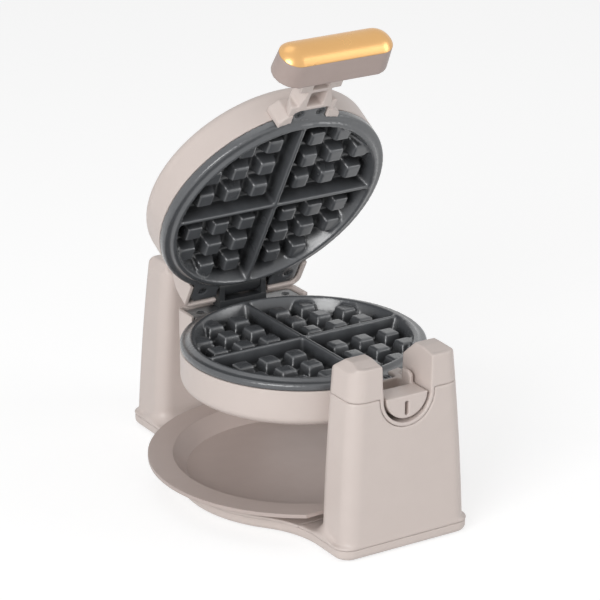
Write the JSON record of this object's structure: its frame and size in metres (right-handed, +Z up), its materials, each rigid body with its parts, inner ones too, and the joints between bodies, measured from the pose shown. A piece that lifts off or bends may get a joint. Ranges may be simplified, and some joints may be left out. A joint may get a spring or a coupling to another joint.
{
  "type": "rotating waffle maker",
  "caption": "Countertop rotating Belgian waffle maker: a round hinged cooker that turns between two towers over a drip tray, with a cross handle.",
  "frame": {"origin": "on the table under the middle of the base", "axes": "+Z up, +Y from the handle side to the rear tower, +X to the right seen from the handle"},
  "size_m": [0.273, 0.363, 0.4168],
  "materials": {
    "housing": "fine matte, warm taupe pink",
    "plate": "dark grey non-stick coating on cast aluminium",
    "gold": "satin gold lacquer",
    "steel": "plain steel",
    "dark_steel": "dark grey coated steel",
    "heater": "dull heater sheath",
    "reflector": "bright sheet",
    "rubber": "grey rubber",
    "bearing": "natural acetal",
    "control": "dark phenolic",
    "lamp": "clear red lens"
  },
  "bodies": {
    "base": {"base_deck": "housing", "front_tower": "housing", "front_tower_cap": "housing", "rear_tower": "housing", "bottom_cover": "housing", "rubber_feet": "rubber", "base_screws": "steel", "rear_bushing": "bearing", "cord_grommet": "rubber"},
    "cooker": {"lower_shell": "housing", "lower_cooking_plate": "plate", "lower_plate_screws": "dark_steel", "lower_heating_element": "heater", "lower_heat_reflector": "reflector", "lower_thermostat": "control", "thermal_fuse": "control", "front_journal": "housing", "journal_screws": "steel", "rear_shaft": "steel", "shaft_retaining_ring": "steel", "hinge_bracket": "dark_steel", "hinge_pin": "steel"},
    "lid": {"lid_shell": "housing", "upper_cooking_plate": "plate", "upper_plate_screws": "dark_steel", "upper_heating_element": "heater", "upper_heat_reflector": "reflector", "upper_thermostat": "control", "lid_knuckle": "dark_steel", "lid_neck": "housing", "lid_bracket": "housing", "handle_grip": "housing", "handle_cap": "gold", "handle_screws": "steel", "ready_lights": "lamp"},
    "tray": {"drip_tray": "housing"}
  },
  "joints": [
    {"name": "flip", "type": "hinge", "parent": "base", "child": "cooker", "pos_m": [0, -0.0165, 0.138], "axis": [0, 1, 0], "range_deg": [0, 85]},
    {"name": "lid_hinge", "type": "hinge", "parent": "cooker", "child": "lid", "pos_m": [0, 0.0955, 0.152], "axis": [1, 0, 0], "range_deg": [0, 60]},
    {"name": "tray_slide", "type": "slide", "parent": "base", "child": "tray", "axis": [-1, 0, 0], "range_m": [0, 0.25]}
  ]
}
